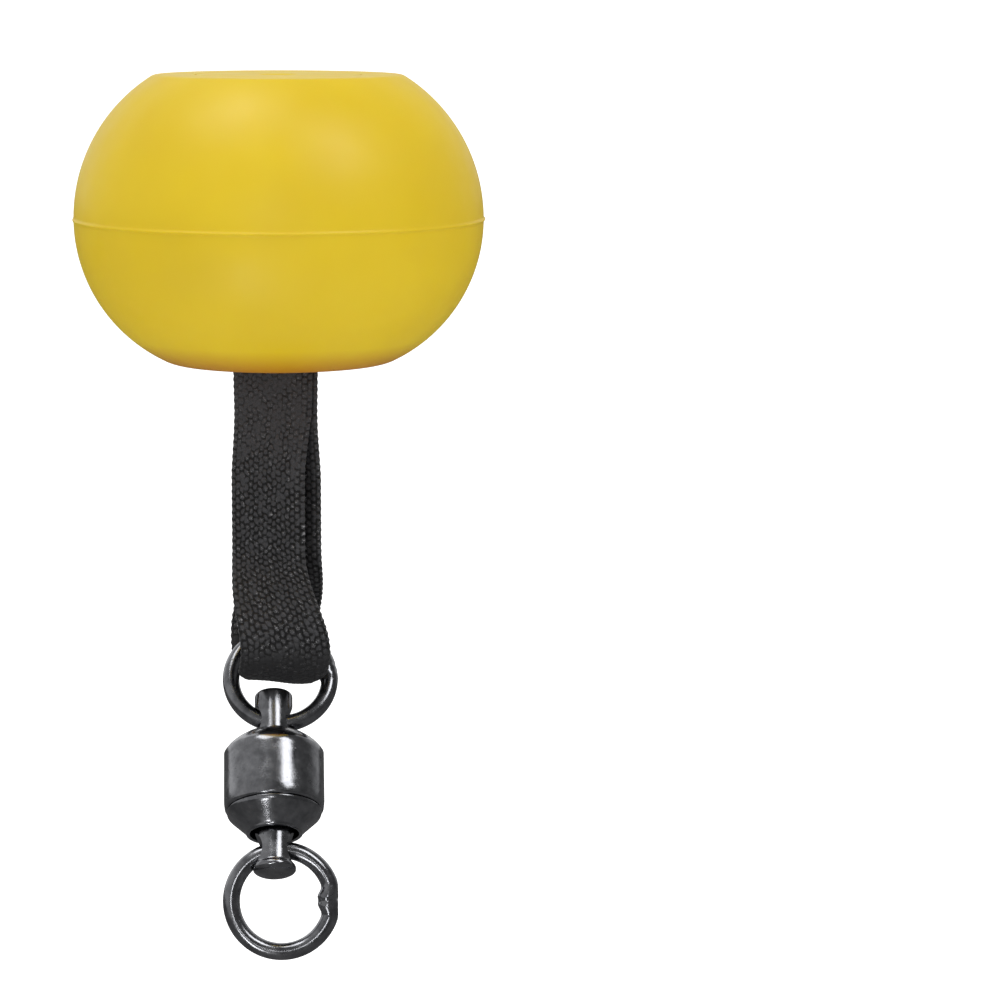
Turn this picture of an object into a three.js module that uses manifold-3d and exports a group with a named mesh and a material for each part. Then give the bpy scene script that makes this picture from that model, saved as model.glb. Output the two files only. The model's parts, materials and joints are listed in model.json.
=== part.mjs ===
// A moulded knob float on a webbing loop, with a ball bearing swivel and two rings at its end.
// Millimetres, +Z up. The origin is the centre of the knob, -Y is the front and +X the right.

import * as THREE from 'three';
import { mergeVertices } from 'three/addons/utils/BufferGeometryUtils.js';
import Module from 'manifold-3d';

const wasm = await Module();
wasm.setup();

const degree = Math.PI / 180;
const fit = 0.05; // gap between pieces that touch
const slack = 0.3; // gap between pieces that move or lie loose

// ---------- knob ----------
const knobDiameter = 44.5;
const knobHeight = 31.2;
const topFlatDiameter = 26.9; // flat ends, measured to where side and end would meet
const footFlatDiameter = 23.9;
const topEdgeRadius = 1.2;
const footEdgeRadius = 3.5;
const flashHeight = 0.5; // raised parting line on the equator
const flashDepth = 0.2;
const recessDepth = 11; // hollow in the top that holds the strap's anchor
const plugThickness = 2.8;
const plugLedge = 0.5;
const mouthChamfer = 1.2; // at the strap's slot in the underside

// ---------- anchor ----------
const pinDiameter = 4;
const washerThickness = 1.6;
const lugThickness = 2.2;
const pinLift = 3; // clear height between the washer and the pin

// ---------- webbing ----------
const strapWidth = 9.8;
const strapThickness = 1.2;
const strapTurn = -30 * degree; // about Z, at the knob
const strapMidTurn = -37 * degree;
const loopLength = 34.1; // strap hinge down to the outside of the fold
const midGap = 1.8; // between the two plies, halfway down
const threadDiameter = 0.45;
const stitchRows = 9;
const stitchPitch = 1.1;

// ---------- rings and swivel ----------
const ringRadius = 5.45; // to the middle of the wire
const wireDiameter = 1.85;
const weldRadius = 1.22;
const weldInset = 0.15; // bead's middle inside the middle of the wire
const upperWeld = 13 * degree; // above the ring's right side
const ringDrop = 1; // inside of the fold down to the ring's centre
const ringShift = -0.25; // ring centres beside the knob's axis
const axisShift = -0.76; // swivel axis beside the ring centres
const swivelTilt = -36 * degree;
const lowerRingTilt = 21.4 * degree; // turned back from the swivel's tilt

const stemDiameter = 4.15;
const stemCrown = 3.75; // stem beyond the middle of its eye
const lowerStemEnd = 2.65; // stem beyond the middle of its eye
const lipDiameter = 4.65;
const eyeClearance = 0.6; // on the diameter, at the eye's waist
const eyeWaistLength = 1.2;
const eyeToBarrel = 1.3;
const barrelToEye = 1.85; // barrel's end down to the lower eye

const barrelDiameter = 10.95;
const barrelLength = 11.9;
const shellLength = 9.1;
const shellWall = 0.9;
const shellCrown = 1.9; // thickness of the shell's domed end
const capStep = 0.25; // cap is this much smaller than the shell, on the radius
const capSpigot = 0.5;
const capMouthRadius = 2.65;
const capRimRadius = 3.05;
const ballDiameter = 1.6;
const ballCount = 10;
const raceThickness = 0.4;
const headThickness = 0.75;

// ---------- worked out ----------
const knobTop = knobHeight / 2;
const knobBottom = -knobHeight / 2;
const recessFloor = knobTop - recessDepth;
const pinRadius = pinDiameter / 2;
const lugInner = strapWidth / 2 + slack;
const pinLength = 2 * (lugInner + lugThickness);
const recessRadius = Math.hypot(pinLength / 2, pinRadius) + 0.8;
const plugRadius = recessRadius + plugLedge;
const plugBottom = knobTop - plugThickness;
const washerTop = recessFloor + fit + washerThickness;
const pinZ = washerTop + pinLift;
const wrapRadius = pinRadius + fit + strapThickness;
const slotHalfX = strapWidth / 2 + slack + 0.2;
const slotHalfY = strapThickness + threadDiameter + slack + 0.1;

const strapHingeZ = knobBottom - strapThickness - slack;
const foldBottom = strapHingeZ - loopLength;
const foldInside = foldBottom + strapThickness;
const wireRadius = wireDiameter / 2;
const bulbRadius = ringRadius * Math.sin(-swivelTilt) + wireRadius + 0.75;
const bulbZ = foldInside + bulbRadius;
const bulbRise = 8.5; // length over which the plies part to go round the ring
const loopTop = strapHingeZ - 3; // where the two plies part
const ringZ = foldInside - ringDrop;

const stemRadius = stemDiameter / 2;
const shellRadius = barrelDiameter / 2;
const boreRadius = shellRadius - shellWall;
const ballRadius = ballDiameter / 2;
const ballPitchRadius = (stemRadius + boreRadius) / 2;
const raceInner = stemRadius + 0.25;
const headRadius = boreRadius - 0.25;
const eyeDrop = Math.sqrt(ringRadius ** 2 - axisShift ** 2);
const eyeReach = stemRadius - axisShift; // far side of the stem from the ring's middle line
const ringSide = Math.sqrt(ringRadius ** 2 - eyeReach ** 2);
const eyeMouth = eyeDrop - ringSide + (wireRadius * ringRadius) / ringSide + 2 * fit; // clears the wire's curve
const upperRaceTop = shellCrown + fit;
const upperBallDepth = upperRaceTop + raceThickness + 0.02 + ballRadius;
const upperHeadTop = upperBallDepth + ballRadius + 0.02;
const lowerRaceBottom = shellLength + fit - capSpigot - fit;
const lowerBallDepth = lowerRaceBottom - raceThickness - 0.02 - ballRadius;
const lowerHeadBottom = lowerBallDepth - ballRadius - 0.02;
const lowerEyeDepth = barrelLength + barrelToEye;

// ---------- materials ----------
const yellow = new THREE.MeshStandardMaterial({ color: '#dcc32b', roughness: 0.5 });
const webbing = new THREE.MeshStandardMaterial({ color: '#2b2b2d', roughness: 0.9 });
const thread = new THREE.MeshStandardMaterial({ color: '#1b1b1c', roughness: 0.8 });
const darkSteel = new THREE.MeshStandardMaterial({ color: '#5b5b5e', metalness: 1, roughness: 0.25 });
const brightSteel = new THREE.MeshStandardMaterial({ color: '#b9babd', metalness: 1, roughness: 0.2 });

// ---------- helpers ----------

/** Geometry with shared vertices and no collapsed triangles. */
function weld(geometry) {
  const bare = geometry.clone();
  bare.deleteAttribute('normal');
  bare.deleteAttribute('uv');
  const merged = mergeVertices(bare, 1e-4);
  const index = merged.index.array;
  const kept = [];
  for (let i = 0; i < index.length; i += 3) {
    const [a, b, c] = index.slice(i, i + 3);
    if (a !== b && b !== c && c !== a) kept.push(a, b, c);
  }
  merged.setIndex(kept);
  merged.computeVertexNormals();
  return merged;
}

function toSolid(geometry) {
  const welded = weld(geometry);
  return new wasm.Manifold(
    new wasm.Mesh({
      numProp: 3,
      vertProperties: new Float32Array(welded.attributes.position.array),
      triVerts: new Uint32Array(welded.index.array),
    })
  );
}

function toGeometry(solid) {
  const mesh = solid.getMesh();
  const geometry = new THREE.BufferGeometry();
  geometry.setAttribute('position', new THREE.BufferAttribute(mesh.vertProperties, 3));
  geometry.setIndex(new THREE.BufferAttribute(mesh.triVerts, 1));
  geometry.computeVertexNormals();
  return geometry;
}

/** Turns a profile of [radius, height] pairs round Z. The profile runs up the outside. */
function turned(profile, segments = 36) {
  const points = profile.map(([radius, height]) => new THREE.Vector2(radius, height));
  return weld(new THREE.LatheGeometry(points, segments).rotateX(Math.PI / 2));
}

/** A washer between two heights. */
function turnedRing(inner, outer, bottom, top, segments = 36) {
  return turned([[inner, bottom], [outer, bottom], [outer, top], [inner, top], [inner, bottom]], segments);
}

function rodAlongZ(radius, bottom, top, segments = 48) {
  return turned([[0, bottom], [radius, bottom], [radius, top], [0, top]], segments);
}

function rodAlongX(radius, length) {
  return turned([[0, -length / 2], [radius, -length / 2], [radius, length / 2], [0, length / 2]], 24)
    .rotateY(Math.PI / 2);
}

/** Points on an arc, as [x, y] pairs. */
function arc(x, y, radius, from, to, steps) {
  return Array.from({ length: steps + 1 }, (_, i) => {
    const angle = from + ((to - from) * i) / steps;
    return [x + radius * Math.cos(angle), y + radius * Math.sin(angle)];
  });
}

function smooth(t) {
  const s = Math.min(1, Math.max(0, t));
  return s * s * (3 - 2 * s);
}

function named(name, geometry, material) {
  const mesh = new THREE.Mesh(geometry, material);
  mesh.name = name;
  return mesh;
}

function groupAt(x, y, z, ...children) {
  const group = new THREE.Group();
  group.position.set(x, y, z);
  group.add(...children);
  return group;
}

/** Extrudes an outline drawn in Y and Z through a width along X, centred on X = 0. */
function band(outline, hole, width) {
  const shape = new THREE.Shape(outline.map(([y, z]) => new THREE.Vector2(y, z)));
  if (hole) shape.holes.push(new THREE.Path(hole.map(([y, z]) => new THREE.Vector2(y, z))));
  const geometry = new THREE.ExtrudeGeometry(shape, { depth: width, bevelEnabled: false });
  geometry.translate(0, 0, -width / 2);
  const axes = new THREE.Matrix4().makeBasis(
    new THREE.Vector3(0, 1, 0),
    new THREE.Vector3(0, 0, 1),
    new THREE.Vector3(1, 0, 0)
  );
  return geometry.applyMatrix4(axes);
}

/** Rounded rectangle prism along Z, from bottom up to top. */
function slotPrism(halfX, halfY, bottom, top, chamfer = 0) {
  const round = halfY - 0.3;
  const shape = new THREE.Shape();
  shape.moveTo(-halfX + round, -halfY);
  shape.lineTo(halfX - round, -halfY);
  shape.absarc(halfX - round, -halfY + round, round, -Math.PI / 2, 0);
  shape.absarc(halfX - round, halfY - round, round, 0, Math.PI / 2);
  shape.absarc(-halfX + round, halfY - round, round, Math.PI / 2, Math.PI);
  shape.absarc(-halfX + round, -halfY + round, round, Math.PI, 1.5 * Math.PI);
  const geometry = new THREE.ExtrudeGeometry(shape, {
    depth: top - bottom,
    curveSegments: 4,
    bevelEnabled: chamfer > 0,
    bevelThickness: chamfer,
    bevelSize: chamfer,
    bevelSegments: 1,
  });
  return geometry.translate(0, 0, bottom);
}

// ---------- knob pieces ----------

/** Outline of one half of the knob from the flash up: round side, round edge, flat end. */
function halfProfile(flatDiameter, edgeRadius) {
  const inset = (knobDiameter - flatDiameter) / 2;
  const sideRadius = (knobTop ** 2 + inset ** 2) / (2 * inset);
  const sideCentre = knobDiameter / 2 - sideRadius;
  const edgeZ = knobTop - edgeRadius;
  const edgeX = sideCentre + Math.sqrt((sideRadius - edgeRadius) ** 2 - edgeZ ** 2);
  const sideEnd = Math.atan2(edgeZ, edgeX - sideCentre);
  const flashEnd = Math.asin(flashHeight / 2 / sideRadius);
  const ridge = knobDiameter / 2 + flashDepth;
  const side = arc(sideCentre, 0, sideRadius, flashEnd, sideEnd, 8);
  const edge = arc(edgeX, edgeZ, edgeRadius, sideEnd, Math.PI / 2, 4).slice(1);
  return [[ridge, flashHeight / 5], ...side, ...edge, [0, knobTop]];
}

function knobProfile() {
  const upper = halfProfile(topFlatDiameter, topEdgeRadius);
  const lower = halfProfile(footFlatDiameter, footEdgeRadius);
  return [...lower.map(([radius, height]) => [radius, -height]).reverse(), ...upper];
}

function knobBody() {
  const recess = rodAlongZ(recessRadius, recessFloor, knobTop);
  const plugSeat = rodAlongZ(plugRadius + fit, plugBottom, knobTop + 1);
  const slot = slotPrism(slotHalfX, slotHalfY, knobBottom - 1, recessFloor + 1);
  const mouth = slotPrism(slotHalfX, slotHalfY, knobBottom - 2, knobBottom, mouthChamfer);
  const solid = toSolid(turned(knobProfile(), 64))
    .subtract(toSolid(recess))
    .subtract(toSolid(plugSeat))
    .subtract(toSolid(slot.rotateZ(strapTurn)))
    .subtract(toSolid(mouth.rotateZ(strapTurn)));
  return named('knob_body', toGeometry(solid), yellow);
}

function topPlug() {
  const chamfer = 0.3;
  const bottom = plugBottom + fit;
  const profile = [
    [0, bottom],
    [plugRadius, bottom],
    [plugRadius, knobTop - chamfer],
    [plugRadius - chamfer, knobTop],
    [0, knobTop],
  ];
  return named('top_plug', turned(profile, 48), yellow);
}

/** Washer with the strap's slot and two lugs that cradle the pin. */
function anchorWasher() {
  const bottom = recessFloor + fit;
  const disc = toSolid(rodAlongZ(recessRadius - 0.1, bottom, washerTop));
  const slot = toSolid(slotPrism(slotHalfX - 0.1, slotHalfY, bottom - 1, washerTop + 1));
  const lugHeight = pinZ - washerTop + 1;
  const lugs = [-1, 1].map((side) => {
    const block = new THREE.BoxGeometry(lugThickness, 2 * pinRadius + 1.4, lugHeight);
    block.translate(side * (lugInner + lugThickness / 2), 0, washerTop + lugHeight / 2 - 1);
    return toSolid(block);
  });
  const saddle = toSolid(rodAlongX(pinRadius + fit, pinLength + 4).translate(0, 0, pinZ));
  const solid = disc.subtract(slot).add(lugs[0]).add(lugs[1]).subtract(saddle);
  return named('anchor_washer', toGeometry(solid), brightSteel);
}

function anchorPin() {
  return named('anchor_pin', rodAlongX(pinRadius, pinLength).translate(0, 0, pinZ), brightSteel);
}

/** The stitched part of the webbing: two plies through the slot that open round the pin. */
function strapInKnob() {
  const neck = washerTop + 0.2;
  const bottom = knobBottom - fit;
  const lean = 25 * degree;
  const wrap = arc(0, pinZ, wrapRadius, -lean, Math.PI + lean, 14);
  const outline = [[-strapThickness, bottom], [strapThickness, bottom], [strapThickness, neck]]
    .concat(wrap, [[-strapThickness, neck]]);
  const hole = arc(0, pinZ, pinRadius + fit, 0, 2 * Math.PI, 24).slice(0, -1).reverse();
  return named('strap_in_knob', band(outline, hole, strapWidth), webbing);
}

/** One zigzag of thread on the face of the stitched plies. */
function bartackThread() {
  const reach = strapWidth / 2 - 1.2;
  const rowZ = (row) => recessFloor - 4 - row * stitchPitch;
  const points = Array.from({ length: stitchRows }, (_, row) => {
    const side = row % 2 ? 1 : -1;
    return new THREE.Vector3(side * reach, 0, rowZ(row));
  });
  const path = new THREE.CatmullRomCurve3(points, false, 'catmullrom', 0.15);
  const section = new THREE.Shape();
  section.absarc(0, 0, threadDiameter / 2, 0, 2 * Math.PI);
  const geometry = new THREE.ExtrudeGeometry(section, {
    steps: stitchRows * 5,
    curveSegments: 3,
    extrudePath: path,
  });
  geometry.translate(0, -strapThickness - threadDiameter / 2 - fit, 0);
  return named('bartack_thread', geometry, thread);
}

// ---------- webbing loop ----------

/** Half the gap between the plies at a height, above the round of the fold. */
function halfGap(z) {
  const wedge = (midGap / 2) * smooth((loopTop - z) / 9);
  return wedge + (bulbRadius - wedge) * smooth((bulbZ + bulbRise - z) / bulbRise);
}

/** One side of the loop as [y, z], from the given top down to the bulb and round to the fold. */
function loopSide(top, outward, steps) {
  const sides = Array.from({ length: steps + 1 }, (_, i) => {
    const z = top + ((bulbZ - top) * i) / steps;
    return [halfGap(z) + outward, z];
  });
  const fold = arc(0, bulbZ, bulbRadius + outward, 0, -Math.PI / 2, 8).slice(1);
  return [...sides, ...fold];
}

/** Mirrors one side to make a closed outline, leaving out the points on the middle line. */
function mirrored(side) {
  const other = side.filter(([y]) => Math.abs(y) > 1e-6).map(([y, z]) => [-y, z]);
  return [...side, ...other.reverse()];
}

/** Half the strap's width where it passes through the ring, at the inside of the fold. */
function pinchedHalfWidth() {
  const lift = ringDrop + bulbRadius;
  const run = lift * Math.cos(swivelTilt);
  const crossing = run - Math.sqrt(run ** 2 - (lift ** 2 - bulbRadius ** 2));
  const wireGap = Math.sqrt(ringRadius ** 2 - crossing ** 2) - wireRadius - slack;
  const weldGap = (ringRadius - weldInset) * Math.cos(upperWeld) - weldRadius - 2 * fit;
  return Math.min(strapWidth / 2, wireGap, weldGap);
}

/** Narrows the loop at the fold, turns its plies about Z towards the knob and leans it to the ring. */
function shapeLoop(geometry) {
  const pinch = pinchedHalfWidth() / (strapWidth / 2);
  const plyReach = midGap / 2 + strapThickness; // beyond this the bulb opens straight to front and back
  const position = geometry.attributes.position;
  for (let i = 0; i < position.count; i += 1) {
    const z = position.getZ(i);
    const open = smooth((z - foldBottom - 2.8) / 4);
    const x = position.getX(i) * (pinch + (1 - pinch) * open);
    const y = position.getY(i);
    const ply = Math.min(plyReach, Math.max(-plyReach, y));
    const towardsMid = smooth((strapHingeZ - z) / 10);
    const untwist = smooth((z - (foldBottom + 3.2)) / 12);
    const turn = (strapTurn + (strapMidTurn - strapTurn) * towardsMid) * untwist;
    const lean = (ringShift * (strapHingeZ - z)) / loopLength;
    position.setX(i, x * Math.cos(turn) - ply * Math.sin(turn) + lean);
    position.setY(i, x * Math.sin(turn) + ply * Math.cos(turn) + y - ply);
  }
  return weld(geometry);
}

function strapLoop() {
  const crown = arc(0, strapHingeZ, strapThickness, Math.PI / 2, 0, 4);
  const outside = mirrored([...crown, ...loopSide(strapHingeZ - 1, strapThickness, 16)]);
  const inside = mirrored([[0, loopTop], ...loopSide(loopTop - 1.5, 0, 14)]);
  return named('strap_loop', shapeLoop(band(outside.reverse(), inside, strapWidth)), webbing);
}

// ---------- rings, stems and barrel ----------

/** A welded ring in the XZ plane. The weld bead sits at the given angle from +X towards +Z. */
function ring(name, weldAngle) {
  const torus = new THREE.TorusGeometry(ringRadius, wireRadius, 10, 44).rotateX(Math.PI / 2);
  const bead = new THREE.SphereGeometry(weldRadius, 10, 8);
  const inward = ringRadius - weldInset;
  bead.translate(inward * Math.cos(weldAngle), 0, inward * Math.sin(weldAngle));
  return named(name, toGeometry(toSolid(torus).add(toSolid(bead))), darkSteel);
}

/** Cuts the ring's eye through a stem: a hole along X with flared ends, at the stem's origin. */
function cutEye(geometry) {
  const waist = wireRadius + eyeClearance / 2;
  const half = eyeWaistLength / 2;
  const end = stemRadius + 0.5;
  const flare = waist + ((eyeMouth - waist) * (end - half)) / (stemRadius - half);
  const profile = [[0, -end], [flare, -end], [waist, -half], [waist, half], [flare, end], [0, end]];
  const hole = turned(profile, 24).rotateY(Math.PI / 2);
  return toGeometry(toSolid(geometry).subtract(toSolid(hole)));
}

/** Stem with its eye at the origin and its head, inside the barrel, below. */
function upperStem() {
  const headTop = -eyeToBarrel - upperHeadTop;
  const headBottom = headTop - headThickness;
  const profile = [
    [0, headBottom],
    [headRadius, headBottom],
    [headRadius, headTop],
    [stemRadius, headTop],
    [stemRadius, stemCrown - 0.7],
    [stemRadius * 0.85, stemCrown - 0.3],
    [stemRadius * 0.5, stemCrown - 0.06],
    [0, stemCrown],
  ];
  return named('upper_stem', cutEye(turned(profile)), darkSteel);
}

/** Stem with its eye at the origin, a head inside the barrel above and a lip at its end. */
function lowerStem() {
  const headBottom = lowerEyeDepth - lowerHeadBottom;
  const headTop = headBottom + headThickness;
  const lip = lipDiameter / 2;
  const profile = [
    [0, -lowerStemEnd],
    [lip - 0.35, -lowerStemEnd],
    [lip, -lowerStemEnd + 0.35],
    [lip, -lowerStemEnd + 0.7],
    [stemRadius, -lowerStemEnd + 0.95],
    [stemRadius, headBottom],
    [headRadius, headBottom],
    [headRadius, headTop],
    [0, headTop],
  ];
  return named('lower_stem', cutEye(turned(profile)), darkSteel);
}

/** Domed shell of the barrel. Its top is at the origin and its open end faces down. */
function barrelShell() {
  const hole = stemRadius + 0.2;
  const dome = new THREE.QuadraticBezierCurve(
    new THREE.Vector2(shellRadius, -2.4),
    new THREE.Vector2(shellRadius - 0.85, -1.03),
    new THREE.Vector2(hole + 0.2, 0)
  );
  const profile = [
    [boreRadius, -shellLength],
    [shellRadius, -shellLength],
    ...dome.getPoints(6).map((point) => [point.x, point.y]),
    [hole, 0],
    [hole, -shellCrown],
    [boreRadius, -shellCrown],
    [boreRadius, -shellLength],
  ];
  return named('barrel_shell', turned(profile, 40), darkSteel);
}

/** Tapered cap pressed into the open end of the shell. */
function barrelCap() {
  const shoulder = -shellLength - fit;
  const outer = shellRadius - capStep;
  const profile = [
    [capMouthRadius, -barrelLength],
    [capRimRadius, -barrelLength],
    [outer, shoulder - 0.3],
    [outer, shoulder],
    [boreRadius - fit, shoulder],
    [boreRadius - fit, shoulder + capSpigot],
    [capMouthRadius, shoulder + capSpigot],
    [capMouthRadius, -barrelLength],
  ];
  return named('barrel_cap', turned(profile, 40), darkSteel);
}

function race(name, top) {
  return named(name, turnedRing(raceInner, boreRadius - fit, -top - raceThickness, -top), brightSteel);
}

/** The balls of one bearing, in a circle at a depth below the barrel's top. */
function balls(prefix, depth) {
  return Array.from({ length: ballCount }, (_, i) => {
    const angle = (2 * Math.PI * i) / ballCount;
    const ball = new THREE.SphereGeometry(ballRadius, 10, 8);
    ball.translate(ballPitchRadius * Math.cos(angle), ballPitchRadius * Math.sin(angle), -depth);
    return named(`${prefix}_ball_${i + 1}`, weld(ball), brightSteel);
  });
}

function barrel() {
  return groupAt(
    0, 0, -eyeToBarrel,
    barrelShell(),
    barrelCap(),
    race('upper_race', upperRaceTop),
    race('lower_race', lowerRaceBottom - raceThickness),
    ...balls('upper', upperBallDepth),
    ...balls('lower', lowerBallDepth)
  );
}

/** Lower ring, hung from the lower stem's eye and turned back about it. */
function lowerRing() {
  const hung = groupAt(0, 0, 0, groupAt(-axisShift, 0, -eyeDrop, ring('lower_ring', 0)));
  hung.rotation.x = lowerRingTilt;
  return hung;
}

/** Everything below the webbing, with the upper ring's centre at the group's origin. */
function swivel() {
  const lowerEnd = groupAt(0, 0, -eyeToBarrel - lowerEyeDepth, lowerStem(), lowerRing());
  const group = groupAt(
    ringShift, 0, ringZ,
    ring('upper_ring', upperWeld),
    groupAt(axisShift, 0, -eyeDrop, upperStem(), barrel(), lowerEnd)
  );
  group.rotation.x = swivelTilt;
  return group;
}

// ---------- whole ----------
const anchor = new THREE.Group();
anchor.add(anchorWasher(), anchorPin(), strapInKnob(), bartackThread());
anchor.rotation.z = strapTurn;

const float = new THREE.Group();
float.add(knobBody(), topPlug(), anchor, strapLoop(), swivel());

export default float;
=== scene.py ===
import json
import math

import bpy
import numpy as np
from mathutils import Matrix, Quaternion, Vector


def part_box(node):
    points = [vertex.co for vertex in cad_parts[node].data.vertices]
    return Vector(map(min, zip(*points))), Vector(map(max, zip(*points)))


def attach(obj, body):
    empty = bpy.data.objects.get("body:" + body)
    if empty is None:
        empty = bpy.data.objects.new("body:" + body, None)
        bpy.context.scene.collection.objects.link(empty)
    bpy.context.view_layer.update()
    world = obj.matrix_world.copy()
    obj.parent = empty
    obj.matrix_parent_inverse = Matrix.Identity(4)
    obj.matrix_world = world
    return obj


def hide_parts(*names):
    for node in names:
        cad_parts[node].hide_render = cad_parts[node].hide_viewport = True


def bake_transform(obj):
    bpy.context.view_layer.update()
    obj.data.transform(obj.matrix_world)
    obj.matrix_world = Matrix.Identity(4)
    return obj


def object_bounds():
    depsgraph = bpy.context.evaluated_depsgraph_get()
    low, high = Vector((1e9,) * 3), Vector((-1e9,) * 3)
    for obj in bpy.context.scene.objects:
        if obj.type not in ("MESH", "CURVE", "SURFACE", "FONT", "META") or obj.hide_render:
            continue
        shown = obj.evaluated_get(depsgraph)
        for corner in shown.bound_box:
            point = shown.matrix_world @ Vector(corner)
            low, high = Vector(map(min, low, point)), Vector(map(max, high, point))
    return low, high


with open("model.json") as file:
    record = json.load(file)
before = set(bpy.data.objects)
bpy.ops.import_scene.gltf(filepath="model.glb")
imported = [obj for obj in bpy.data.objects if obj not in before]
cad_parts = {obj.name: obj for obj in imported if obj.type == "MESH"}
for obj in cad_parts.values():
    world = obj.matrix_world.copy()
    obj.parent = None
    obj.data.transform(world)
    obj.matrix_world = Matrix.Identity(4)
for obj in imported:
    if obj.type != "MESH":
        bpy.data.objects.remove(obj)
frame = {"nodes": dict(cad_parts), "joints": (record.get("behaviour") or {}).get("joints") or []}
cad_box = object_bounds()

# A moulded knob float on a loop of webbing, with a ball bearing swivel and two welded rings.
# Shapes are worked out in millimetres and put into Blender in metres.

MM = 0.001
RIGHT = np.array([1.0, 0.0, 0.0])

# Knob
FLASH_DEPTH = 0.2
FLASH_WIDTH = 0.18
TOP_FLAT, TOP_EDGE = 26.9, 1.2
FOOT_FLAT, FOOT_EDGE = 23.9, 3.5
SEAT_GAP = 0.05
SLOT_MARGIN = np.array([0.5, 0.85])

# Webbing
STRAP_WIDTH = 9.8
STRAP_THICKNESS = 1.2
STRAP_TURN = math.radians(-30)
STRAP_MID_TURN = math.radians(-37)
STRAP_FOLD_TURN = math.radians(10)
STRAP_SHIFT = -0.55
MID_GAP = 1.8
PINCHED_WIDTH = 7.7
PLY_GAP = 0.04
LOOP_TOP_DROP = 3
WEDGE_LENGTH = 9
BULB_RISE = 8.5
UNTWIST_START, UNTWIST_LENGTH = 3.2, 12
NECK_RISE = 1.8
FOLD_SLACK = 0.75
SELVEDGE = 0.5
RIB_PITCH = 0.62
PICK_PITCH = 0.78
WEAVE_RELIEF = 0.12
ROW_STEP = 0.15
HIDDEN_ROW_STEP = 0.9

# Camera and floor
CAMERA_PLACE = (0, -0.399, 0.0293)
CAMERA_LENS = 131.8
PITCH, YAW, ROLL = (math.radians(angle) for angle in (8.598, 3.457, 0.1))
TENT_LIGHT = 0.8
FLOOR_DROP = 75
FLOOR_HALF = 20000.0

# Rings and swivel
RING_RADIUS = 5.45
WIRE_DIAMETER = 1.85
UPPER_WELD = math.radians(13)
LOWER_RING_TURN = math.radians(21.4)
AXIS_SHIFT = 0.76
STEM_DIAMETER = 4.15
LIP_DIAMETER = 4.65
EYE_DIAMETER = 2.45
EYE_MOUTH = 3.94
HEAD_THICKNESS = 0.75
SHELL_WALL = 0.9
SHELL_CROWN = 1.9
CAP_SPIGOT = 0.5
CAP_MOUTH = 2.65
CAP_RIM = 3.05


# ---------- places taken from the frame, in millimetres ----------

def box(node):
    """Lowest and highest corner of a CAD piece."""
    low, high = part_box(node)
    return np.array(low) / MM, np.array(high) / MM


def joint_point(name):
    """The point that a joint turns about."""
    joint = next(j for j in frame["joints"] if j["name"] == name)
    return np.array(joint["pos_m"]) / MM


def joint_axis(name):
    """The axis that a joint turns about, as a unit vector."""
    joint = next(j for j in frame["joints"] if j["name"] == name)
    axis = np.array(joint["axis"], float)
    return axis / np.linalg.norm(axis)


def reach(node, origin, axis):
    """Lowest and highest point of a CAD piece along an axis, and how far out from it the piece goes."""
    mesh = frame["nodes"][node].data
    flat = np.zeros(len(mesh.vertices) * 3, np.float32)
    mesh.vertices.foreach_get("co", flat)
    points = flat.reshape(-1, 3) / MM - origin
    along = points @ axis
    out = np.linalg.norm(points - along[:, None] * axis, axis=1)
    return along.min(), along.max(), out.max()


KNOB_LOW, KNOB_HIGH = box("knob_body")
KNOB_BOTTOM, KNOB_TOP = KNOB_LOW[2], KNOB_HIGH[2]
KNOB_RADIUS = KNOB_HIGH[0] - FLASH_DEPTH
HINGE_Z = joint_point("strap_swing")[2]
FOLD_BOTTOM = box("strap_loop")[0][2]
UPPER_EYE = joint_point("barrel_turn")
LOWER_EYE = joint_point("lower_ring_swing")
UPPER_RING_CENTRE = joint_point("stem_slide")
SWIVEL_UP = joint_axis("barrel_turn")
FOLD_INNER = RING_RADIUS * SWIVEL_UP[1] + WIRE_DIAMETER / 2 + FOLD_SLACK


# ---------- camera, light and floor ----------

def aim(thing, place, target):
    """Puts a light or camera at a place and points it at a target, both in mm."""
    look = Vector(target) - Vector(place)
    thing.location = Vector(place) * MM
    thing.rotation_mode = "QUATERNION"
    thing.rotation_quaternion = look.to_track_quat("-Z", "Y")


def camera_piece():
    """Camera in front and a little above, turned to put the object left of the middle."""
    data = bpy.data.cameras.new("camera")
    data.lens = CAMERA_LENS
    data.sensor_width = 36
    data.clip_start = 0.01
    camera = bpy.data.objects.new("camera", data)
    bpy.context.scene.collection.objects.link(camera)
    camera.location = CAMERA_PLACE
    camera.rotation_mode = "QUATERNION"
    turn = Quaternion((0, 0, 1), -YAW)
    lean = Quaternion((1, 0, 0), math.pi / 2 - PITCH)
    camera.rotation_quaternion = turn @ lean @ Quaternion((0, 0, 1), ROLL)
    bpy.context.scene.camera = camera


def soft_light(name, direction, distance, size, power, target=(0, 0, -20)):
    """A soft box that stands in a direction from the target, in mm."""
    data = bpy.data.lights.new(name, "AREA")
    data.shape = "RECTANGLE"
    data.size, data.size_y = size[0] * MM, size[1] * MM
    data.energy = power
    light = bpy.data.objects.new(name, data)
    bpy.context.scene.collection.objects.link(light)
    light.visible_camera = False
    unit = Vector(direction).normalized()
    aim(light, Vector(target) + unit * distance, target)


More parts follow.
